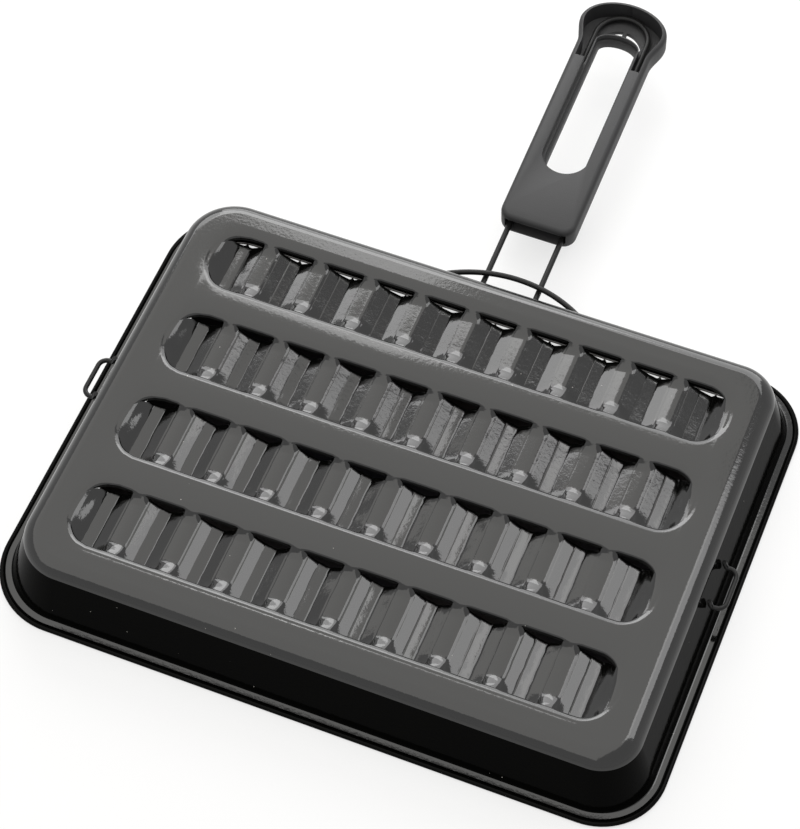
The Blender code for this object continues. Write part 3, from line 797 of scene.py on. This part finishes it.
def press_grid(plan, lines, places):
    """A grid pressed along the lines, with its creases weighted, and its edge's points by their index."""
    drop_selection()
    bpy.ops.mesh.primitive_grid_add(x_subdivisions=len(places) - 1, y_subdivisions=len(lines) - 1, size=1.0)
    plate = bpy.context.object
    vertices = plate.data.vertices
    if len(vertices) != len(places) * len(lines):
        raise RuntimeError("the grid has another number of points than expected")
    creases = plate.vertex_groups.new(name="Creases")
    edge_points = {}
    for row, line in enumerate(lines):
        for column, (x, fold) in enumerate(places):
            index = row * len(places) + column
            spot, crease = (x, line[2], 0.0), 0.0
            if line[0] is not None:
                spot, crease = press(plan, x, line, fold)
            if crease > 0.02:
                creases.add([index], crease, "REPLACE")
            new_x, new_y = plan.rounded(*spot[:2])
            vertices[index].co = (new_x, new_y, spot[2])
            if row in (0, len(lines) - 1) or column in (0, len(places) - 1):
                edge_points[index] = (new_x, new_y)
                vertices[index].co.z = 0.0
    return plate, edge_points


def open_slots(plate, lines, columns):
    """Deletes the steep faces between walls and floors, and merges the seams where there is no slot."""
    mesh = plate.data
    seams = {row for row in range(len(lines) - 1) if {lines[row][3], lines[row + 1][3]} == {"floor", "wall"}}
    merge = 0.00008

    def is_slot(index, face):
        heights = [mesh.vertices[corner].co.z for corner in face.vertices]
        lowest = min(corner // columns for corner in face.vertices)
        return lowest in seams and max(heights) - min(heights) > 3 * merge

    edit(plate, "FACE")
    pick(mesh.polygons, is_slot)
    bpy.ops.mesh.delete(type="FACE")
    bpy.ops.mesh.select_all(action="SELECT")
    bpy.ops.mesh.remove_doubles(threshold=merge)
    leave_edit()


def skirt_profile(plan):
    """The shoulder, the skirt, its foot and the flange, as (outward, height) points."""
    sizes = plan.sizes
    profile = []
    for step in range(1, 9):
        lean = plan.steepest * step / 8
        profile.append((sizes.shoulder * math.sin(lean), sizes.shoulder * (math.cos(lean) - 1)))
    foot = []
    for step in range(5, -1, -1):
        lean = plan.steepest * step / 5
        foot_out = plan.edge_out - sizes.flange - sizes.fillet * math.sin(lean)
        foot.append((foot_out, sizes.fillet * (1 - math.cos(lean)) - sizes.flange_depth))
    out, height = profile[-1]
    run, fall = foot[0][0] - out, foot[0][1] - height
    profile.extend((out + run * share, height + fall * share) for share in (0.03, 0.5, 0.97))
    return profile + foot + [(plan.edge_out, -sizes.flange_depth)]


def thicken(plate, sizes):
    """Gives the sheet its wall, and sinks the creases into its upper side."""
    mesh = plate.data
    edit_whole(plate)
    face_outwards()
    if sum(face.normal.z * face.area for face in mesh.polygons) < 0:
        mesh.flip_normals()
    upper = len(mesh.vertices)
    modify(plate, "SOLIDIFY", thickness=sizes.sheet, offset=-1, use_even_offset=True)
    for vertex in plate.data.vertices[:upper]:
        for group in vertex.groups:
            vertex.co.z -= group.weight * sizes.crease
    plate.vertex_groups.clear()


def finish_plate(plate, plan):
    """Gives the plate its enamel, with a copy on the skirt down to its foot that reflects less: painted
    shade.
    """
    sizes = plan.sizes
    # The skirt's enamel has a low index so that it reflects little: painted shade, a darker copy of the same
    # enamel.
    finishes = [enamel_material("black_enamel_top"), enamel_material("black_enamel_skirt_painted_shade", 1.07)]
    dress(plate, "pressed_plate", "plate", "grill_plate", finishes, 50)
    high = 0.0002 - plan.shoulder_drop
    low = sizes.fillet * 0.10 - sizes.flange_depth
    vertices = plate.data.vertices
    for face in plate.data.polygons:
        highest = max(vertices[corner].co.z for corner in face.vertices)
        outside = abs(face.center.x) > plan.half_x or abs(face.center.y) > plan.half_y
        face.material_index = 1 if outside and highest < high and face.center.z > low else 0


def model_plate():
    """A grid pressed into four waved troughs, with the skirt extruded from its edge."""
    plan = Plan()
    lines = across_lines(plan)
    places = along_lines(plan)
    plate, edge_points = press_grid(plan, lines, places)
    vertices = plate.data.vertices
    edge_table = {spot_key(vertices[index].co): point for index, point in edge_points.items()}
    open_slots(plate, lines, len(places))
    found = ((vertex.index, edge_table.get(spot_key(vertex.co))) for vertex in plate.data.vertices)
    ring = {index: point for index, point in found if point}
    hem_width = 0.00004
    hem = thin_out(plate, plan, extrude_rings(plate, plan, ring, [(hem_width, 0.0)]))
    extrude_rings(plate, plan, hem, skirt_profile(plan))
    thicken(plate, plan.sizes)
    finish_plate(plate, plan)


# Under the plate


# Depth of the binding's groove, into which the net's wires reach
GROOVE = 0.0004


def carried_profile(plan, profile, corner_steps, side_step):
    """A closed profile carried round the plate's outline, from a ring that is extruded."""
    loop = plan.edge_loop(corner_steps, side_step)
    drop_selection()
    bpy.ops.mesh.primitive_circle_add(vertices=len(loop), radius=1.0)
    piece = bpy.context.object
    out, height = profile[0]
    for vertex, point in zip(piece.data.vertices, loop):
        vertex.co = (*plan.moved_out(*point, out), height)
    start_ring = dict(enumerate(loop))
    last_ring = extrude_rings(piece, plan, start_ring, profile[1:])
    edit(piece)
    ends = set(start_ring) | set(last_ring)
    pick(piece.data.vertices, lambda index, vertex: index in ends)
    bpy.ops.mesh.select_mode(type="EDGE")
    bpy.ops.mesh.bridge_edge_loops()
    face_outwards()
    return piece


def model_ring():
    """The ledge and rolled bead under the flange."""
    plan = Plan()
    base = plan.base
    inner = plan.bead_out - base.ledge
    center = plan.ring_bottom + base.bead
    meeting = math.asin((base.bead - base.ring_sheet) / base.bead)
    blunt = base.ring_sheet / 2
    slant = 0.00005
    profile = [(inner + blunt * 0.3, plan.ring_bottom + slant), (inner + blunt, plan.ring_bottom)]
    profile.extend(arc(plan.bead_out, center, base.bead, base.bead, -math.pi / 2, math.pi + meeting, 18))
    profile.extend([(inner + blunt, plan.ring_top), (inner + blunt * 0.3, plan.ring_top - slant)])
    profile.extend([(inner, plan.ring_top - blunt * 0.6), (inner, plan.ring_bottom + blunt * 0.6)])
    ring = carried_profile(plan, profile, corner_steps=18, side_step=0.012)
    # The ring's enamel has a low index so that it reflects little: painted shade, a darker copy of the same
    # enamel.
    finish = enamel_material("black_enamel_ring_painted_shade", 1.12)
    dress(ring, "rim_ring", "base", "base_ring", [finish], 45)


def model_binding():
    """The folded strip round the net's edge."""
    plan = Plan()
    height = plan.base.binding_height
    low, high = plan.net_low, plan.net_high
    inner, outer = plan.binding_in, plan.binding_out
    half = height / 2
    crimp = height * 0.22
    profile = [(inner, low + height * 0.1), (inner + crimp, low), (outer - height * 0.4, low)]
    profile.extend(arc(outer - half, low + half, half, half, -math.pi / 2, math.pi / 2, 8)[1:-1])
    profile.extend([(outer - height * 0.4, high), (inner + crimp, high), (inner, high - height * 0.1)])
    profile.append((inner, high - height * 0.36))
    profile.extend([(inner + GROOVE, low + half), (inner, low + height * 0.36)])
    strip = carried_profile(plan, profile, corner_steps=10, side_step=0.03)
    finish = steel_material("bound_steel", bpy.context.scene.grill_finish.steel, (0.10, 0.095, 0.09), 0.3)
    dress(strip, "net_hem", "base", "net_binding", [finish], 40)


def model_net():
    """A plain weave of fine wires that cross at right angles, laid at 45 degrees in its binding."""
    plan = Plan()
    lift = plan.base.net_wire
    pitch = plan.base.net_pitch
    corner_cut = plan.radius(-1, plan.binding_in) * 0.03 * math.sqrt(0.5)
    held = plan.binding_in + GROOVE - corner_cut
    half_x = plan.half_x + held
    half_y = plan.half_y + held
    middle = (plan.net_low + plan.net_high) / 2
    routes = []
    count = int((half_x + half_y) * math.sqrt(0.5) / pitch) + 1
    for turn in (1, -1):
        along = Vector((math.sqrt(0.5), turn * math.sqrt(0.5)))
        across = Vector((-along.y, along.x))
        for step in range(-count, count + 1):
            route = []
            for half_step in range(-2 * count, 2 * count + 1):
                x, y = across * (step * pitch) + along * (half_step * pitch / 2)
                height = 0.0
                if half_step % 2 == 0:
                    over = (half_step // 2 + step) % 2 == 0
                    height = lift if over == (turn > 0) else -lift
                if abs(x) <= half_x and abs(y) <= half_y:
                    route.append((x, y, middle + height))
            if len(route) > 2:
                routes.append(route)
    net = bend_wire(routes, plan.base.net_wire, resolution=1)
    steel = bpy.context.scene.grill_finish.steel
    finish = steel_material("net_wire_steel", steel, (0.07, 0.065, 0.06), 0.28)
    dress(net, "woven_net", "base", "heat_net", [finish], 60)


def finish_heat_sheet():
    """The sheet keeps its solid and gets a heat-tinted finish."""
    heated = bpy.context.scene.grill_finish.heated
    finish = steel_material("heat_tinted_sheet", heated, (0.030, 0.030, 0.036), 0.42)
    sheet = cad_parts["heat_sheet"]
    sheet.data.materials.clear()
    sheet.data.materials.append(finish)


# Loops and handle


def model_side_loops():
    """A D of wire on each short side, its ends bent up along the skirt."""
    plan = Plan()
    handle = plan.handle
    radius = handle.side_wire
    bend = handle.side_corner
    half = handle.side_half
    height = -handle.side_depth
    climb = 0.0030
    turn = 0.0005
    root_depth = handle.side_depth - 0.0004
    bar = plan.half_x + plan.skirt_out(handle.side_depth) + handle.side_reach
    clear = plan.half_x + radius + plan.base.gap
    root = clear + plan.skirt_out(root_depth)
    arm = [(clear + plan.skirt_out(root_depth - climb), -half, climb - root_depth)]
    arm += [(root, -half, turn - root_depth), (root + turn, -half, height)]
    arm += [(x, y, height) for x, y in arc(bar - bend, bend - half, bend, bend, -math.pi / 2, 0, 8)]
    route = arm + [(x, -y, z) for x, y, z in reversed(arm)]
    for name, sign in (("side_loop_left", -1), ("side_loop_right", 1)):
        loop = bend_wire([[(sign * x, y, z) for x, y, z in route]], radius)
        dress(loop, f"{name}_wire", "plate", name, [wire_material()], 60)


def model_rear_loop():
    """The arc of wire on the rear skirt over the handle's wires."""
    plan = Plan()
    handle = plan.handle
    face = plan.half_y + plan.skirt_out(handle.depth)
    rise = handle.rear_reach * math.sin(handle.tilt) - handle.depth
    height = rise + handle.wire / math.cos(handle.tilt) + plan.base.gap + handle.rear_wire
    root = plan.half_y + plan.skirt_out(handle.rear_wire - height) + plan.base.gap + handle.rear_wire
    radius = handle.rear_radius
    center = face + handle.rear_reach - radius
    half_turn = math.acos((root - center) / radius)
    start = math.pi / 2 - half_turn
    turn = arc(handle.rear_x, center, radius, radius, start, math.pi / 2 + half_turn, 36)
    loop = bend_wire([[(x, y, height) for x, y in turn]], handle.rear_wire)
    dress(loop, "rear_loop_wire", "plate", "rear_loop", [wire_material()], 60)


def handle_matrix(plan, handle):
    """The handle's own frame: +Y runs along it from the skirt's face."""
    face = plan.half_y + plan.skirt_out(handle.depth)
    return Matrix.Translation((handle.side, face, -handle.depth)) @ Matrix.Rotation(handle.tilt, 4, "X")


def model_handle_wire():
    """One wire bent into two prongs with a round end inside the head."""
    plan = Plan()
    handle = plan.handle
    half = handle.spread / 2
    bend = handle.grip_start + handle.slot_inset + handle.slot_length + handle.wall
    route = [(half, -handle.prong), (half, 0), (half, handle.grip_start)]
    route.extend(arc(0, bend, half, half, 0, math.pi, 28))
    route.extend([(-half, handle.grip_start), (-half, 0), (-half, -handle.prong)])
    frame_of_handle = handle_matrix(plan, handle)
    points = [tuple(frame_of_handle @ Vector((x, y, 0))) for x, y in route]
    wire = bend_wire([points], handle.wire)
    dress(wire, "handle_prongs", "handle", "handle_wire", [wire_material()], 60)


def grip_outline(handle, inset, start, corner=0.0):
    """The grip from above, drawn in by the inset."""
    half = handle.grip_half - inset
    side = []
    if corner:
        side.extend(arc(half - corner, start + corner, corner, corner, -math.pi / 2, 0, 6))
    else:
        side.append((half, start))
    steps = 9
    flare_start = handle.grip_start + handle.neck
    for step in range(steps):
        blend = (1 - math.cos(math.pi * step / steps)) / 2
        along = flare_start + handle.flare * step / steps
        if along > start + corner:
            side.append((half + (handle.head_half - handle.grip_half) * blend, along))
    head = flare_start + handle.flare
    side.extend(arc(0, head, handle.head_half - inset, handle.head_round - inset, 0, math.pi / 2, 18))
    return side + [(-x, y) for x, y in reversed(side[:-1])]


def slot_outline(half, start, end):
    """A slot with a round start and a flatter round end."""
    outline = arc(0, end - half / 2, half, half / 2, 0, math.pi, 20)
    outline.extend(arc(0, start + half, half, half, math.pi, 2 * math.pi, 20))
    return outline


def grip_blank(handle):
    """The grip's solid body with its edges rounded."""
    outline = grip_outline(handle, 0, handle.grip_start, handle.corner)
    grip = solid_from_outline(outline, -handle.below, handle.above)
    mesh = grip.data

    def is_rim(index, edge):
        first, second = (mesh.vertices[corner].co for corner in edge.vertices)
        return abs(first.z - second.z) < 1e-6

    edit(grip, "EDGE")
    pick(mesh.edges, is_rim)
    bpy.ops.mesh.bevel(offset=handle.edge, segments=5, profile=0.5, affect="EDGES")
    leave_edit()
    return grip


def grip_cutters(handle, slot_start, slot_end):
    """What is cut out along Z: the stepped slot, the tray round its end and two openings in the tray."""
    over = handle.above + handle.wall
    under = -handle.below - handle.wall
    step = handle.slot_step
    middle_step = 0.0002
    cutters = []
    for grown, low in ((0, under), (step / 2, middle_step), (step, handle.step_above)):
        outline = slot_outline(handle.slot_half + grown, slot_start - grown, slot_end + grown)
        cutters.append((outline, low, over))
    tray_start = handle.grip_start + handle.tray_start
    wall_half = handle.slot_half + handle.slot_wall
    wall_round = handle.slot_half / 2 + handle.slot_wall
    wall_end = slot_end - handle.slot_half / 2
    tray = grip_outline(handle, handle.wall, tray_start) + [(-wall_half, tray_start)]
    tray += arc(0, wall_end, wall_half, wall_round, math.pi, 0, 20) + [(wall_half, tray_start)]
    cutters.append((tray, handle.wall - handle.below, over))
    at_side = math.radians(28)
    at_rib = math.acos(handle.rib / wall_half)
    outer_half = handle.spread / 2 - handle.wire
    opening = arc(0, wall_end, outer_half, wall_round + handle.opening, at_side, at_rib, 9)
    opening += arc(0, wall_end, wall_half, wall_round, at_rib, at_side, 9)
    cutters.extend(([(sign * x, y) for x, y in opening], under, 0.0) for sign in (-1, 1))
    return cutters


def grip_mouth(handle, end):
    """The cutter that hollows the grip from its start to this place along the handle."""
    half = handle.grip_half - handle.mouth_wall
    top = handle.above - handle.wall
    depth = handle.below - handle.wall + 0.0001
    section = [(-half, top), *arc(0, 0, half, depth, math.pi, 2 * math.pi, 16), (half, top)]
    mouth = solid_from_outline(section, 0.0, end - handle.grip_start + handle.wall)
    mouth.data.transform(Matrix.Translation((0, end, 0)) @ Matrix.Rotation(math.pi / 2, 4, "X"))
    return mouth


def model_grip():
    """The moulded grip: rounded blank, stepped slot, open tray in the head, hollow mouth and bores."""
    plan = Plan()
    handle = plan.handle
    slot_start = handle.grip_start + handle.slot_inset
    grip = grip_blank(handle)
    for cutter in grip_cutters(handle, slot_start, slot_start + handle.slot_length):
        cut(grip, solid_from_outline(*cutter))
    mouth_end = slot_start - handle.slot_step - handle.wall
    cut(grip, grip_mouth(handle, mouth_end))
    start = mouth_end - handle.wall
    end = handle.grip_start + handle.tray_start + handle.wall
    for sign in (-1, 1):
        drop_selection()
        bpy.ops.mesh.primitive_cylinder_add(
            vertices=20, radius=handle.wire + plan.base.gap, depth=end - start, rotation=(math.pi / 2, 0, 0)
        )
        bore = bpy.context.object
        bore.location = (sign * handle.spread / 2, (start + end) / 2, 0)
        cut(grip, bore)
    modify(grip, "BEVEL", width=0.00025, segments=2, limit_method="ANGLE", angle_limit=math.radians(50))
    grip.data.transform(handle_matrix(plan, handle))
    dress(grip, "moulded_grip", "handle", "handle_grip", [grip_material()], 32)


# Stage


WHITE = (1.0, 1.0, 1.0)
WARM = (1.0, 0.985, 0.94)
DOWN = (0, 0, -1)

# Each soft box: its name, place, aim, width, length, radiance, turn in degrees and tint
SOFT_BOXES = (
    ("overhead_box", (-0.975, -0.11, 1.30), DOWN, 1.95, 2.86, 1.11, 0, WARM),
    ("overhead_right_box", (0.225, -0.345, 1.30), DOWN, 0.45, 2.39, 1.11, 0, WARM),
    ("right_box", (0.55, 0.442, 0.80), DOWN, 0.70, 0.34, 3.4, 10.6, WHITE),
    ("left_rear_box", (-0.559, 0.755, 0.50), DOWN, 1.00, 0.44, 3.6, -18.7, WHITE),
    ("rear_box", (-0.20, 1.10, 0.70), (0, -1, 0), 1.10, 1.10, 3.0, 0, WHITE),
)


def soft_box(name, spot, aim, size_x, size_y, radiance, turn, tint):
    """A rectangular lamp with an even face that the camera doesn't see."""
    drop_selection()
    bpy.ops.object.light_add(type="AREA", location=spot)
    lamp = bpy.context.object
    lamp.name = name
    lamp.data.shape = "RECTANGLE"
    lamp.data.size = size_x
    lamp.data.size_y = size_y
    lamp.data.energy = math.pi * size_x * size_y * radiance
    lamp.data.color = tint
    lamp.visible_camera = False
    lamp.rotation_mode = "QUATERNION"
    towards = Vector(aim).to_track_quat("-Z", "Y")
    lamp.rotation_quaternion = towards @ Matrix.Rotation(math.radians(turn), 3, "Z").to_quaternion()


def shown_rays(tree):
    """A socket that is 1 for what the camera, a reflection or glass shows, and 0 for light on the object."""
    seen = place(tree, "ShaderNodeLightPath").outputs
    either = calculate(tree, "MAXIMUM", seen["Is Camera Ray"], seen["Is Glossy Ray"])
    return calculate(tree, "MAXIMUM", either, seen["Is Transmission Ray"])


def model_floor():
    """A pale floor that shows brighter than the light it throws."""
    drop_selection()
    middle = (0, 0, FLOOR_HEIGHT)
    bpy.ops.mesh.primitive_grid_add(x_subdivisions=8, y_subdivisions=8, size=14.0, location=middle)
    floor = bpy.context.object
    floor.name = "floor"
    material, tree, shader = start_material("pale_floor", Roughness=0.9, Specular_IOR_Level=0.0)
    shader.inputs["Base Color"].default_value = (*bpy.context.scene.grill_finish.floor, 1)
    floor.data.materials.append(material)
    glow = place(tree, "ShaderNodeEmission", Color=(1, 1, 1, 1), Strength=1.0)
    share = calculate(tree, "MULTIPLY", shown_rays(tree), 0.7)
    blend = place(tree, "ShaderNodeMixShader", share, shader.outputs[0], glow.outputs[0])
    tree.links.new(blend.outputs[0], tree.nodes["Material Output"].inputs["Surface"])


def light_room():
    """A world that is white to look at and dim as a light, and the soft boxes."""
    world = bpy.data.worlds.new("pale_room")
    bpy.context.scene.world = world
    world.use_nodes = True
    tree = world.node_tree
    tree.nodes.clear()
    level = place(tree, "ShaderNodeMapRange", shown_rays(tree), To_Min=0.25, To_Max=1.0)
    light = place(tree, "ShaderNodeBackground", Color=(1, 1, 1, 1), Strength=level.outputs[0])
    place(tree, "ShaderNodeOutputWorld", Surface=light.outputs[0])
    for box in SOFT_BOXES:
        soft_box(*box)


def place_camera():
    """The camera that sees the grill as the photograph does."""
    drop_selection()
    bpy.ops.object.camera_add(location=(0.215466, -0.529159, 0.902990))
    camera = bpy.context.object
    camera.name = "photo_camera"
    right = Vector((0.92831316, 0.37176441, -0.00508964))
    up = Vector((-0.30808894, 0.77683125, 0.54919433))
    back = Vector((0.2081247, -0.50825627, 0.83567917))
    camera.rotation_mode = "QUATERNION"
    camera.rotation_quaternion = Matrix((right, up, back)).transposed().to_quaternion()
    camera.data.sensor_fit = "HORIZONTAL"
    camera.data.sensor_width = 36.0
    camera.data.lens = 124.46
    camera.data.clip_start = 0.05
    camera.data.clip_end = 50.0
    bpy.context.scene.camera = camera
    bpy.context.scene.view_settings.view_transform = "Standard"


# Operators


class GRILL_OT_plate(bpy.types.Operator):
    """Models the pressed enamel plate"""

    bl_idname = "grill.plate"
    bl_label = "Pressed plate"

    def execute(self, context):
        model_plate()
        return {"FINISHED"}


class GRILL_OT_base(bpy.types.Operator):
    """Models the rim ring, the bound net and the heat sheet's finish"""

    bl_idname = "grill.base"
    bl_label = "Ring and net"

    def execute(self, context):
        model_ring()
        model_binding()
        model_net()
        finish_heat_sheet()
        return {"FINISHED"}


class GRILL_OT_loops(bpy.types.Operator):
    """Models the side loops and the rear loop"""

    bl_idname = "grill.loops"
    bl_label = "Wire loops"

    def execute(self, context):
        model_side_loops()
        model_rear_loop()
        return {"FINISHED"}


class GRILL_OT_handle(bpy.types.Operator):
    """Models the handle's wire and its moulded grip"""

    bl_idname = "grill.handle"
    bl_label = "Handle"

    def execute(self, context):
        model_handle_wire()
        model_grip()
        return {"FINISHED"}


class GRILL_OT_stage(bpy.types.Operator):
    """Sets up the floor, the lights and the camera"""

    bl_idname = "grill.stage"
    bl_label = "Stage"

    def execute(self, context):
        model_floor()
        light_room()
        place_camera()
        return {"FINISHED"}


class GRILL_PT_panel(bpy.types.Panel):
    """Lists the grill's operators, sizes and colours"""

    bl_idname = "GRILL_PT_panel"
    bl_label = "Stovetop Grill"
    bl_space_type = "VIEW_3D"
    bl_region_type = "UI"
    bl_category = "Grill"

    def draw(self, context):
        layout = self.layout
        for operator in OPERATORS:
            layout.operator(operator.bl_idname)
        for name, group in GROUPS.items():
            layout.label(text=group.__doc__)
            for key in group.__annotations__:
                layout.prop(getattr(context.scene, name), key)


OPERATORS = (GRILL_OT_stage, GRILL_OT_plate, GRILL_OT_base, GRILL_OT_loops, GRILL_OT_handle)
GROUPS = {
    "grill_plate": GrillPlateSizes,
    "grill_base": GrillBaseSizes,
    "grill_handle": GrillHandleSizes,
    "grill_finish": GrillFinish,
}
CLASSES = (*GROUPS.values(), *OPERATORS, GRILL_PT_panel)


def register():
    for piece in CLASSES:
        bpy.utils.register_class(piece)
    for name, group in GROUPS.items():
        setattr(bpy.types.Scene, name, PointerProperty(type=group))


def unregister():
    for name in GROUPS:
        delattr(bpy.types.Scene, name)
    for piece in reversed(CLASSES):
        bpy.utils.unregister_class(piece)


def main():
    register()
    bpy.ops.grill.stage()
    bpy.ops.grill.plate()
    bpy.ops.grill.base()
    bpy.ops.grill.loops()
    bpy.ops.grill.handle()


if __name__ == "__main__":
    main()
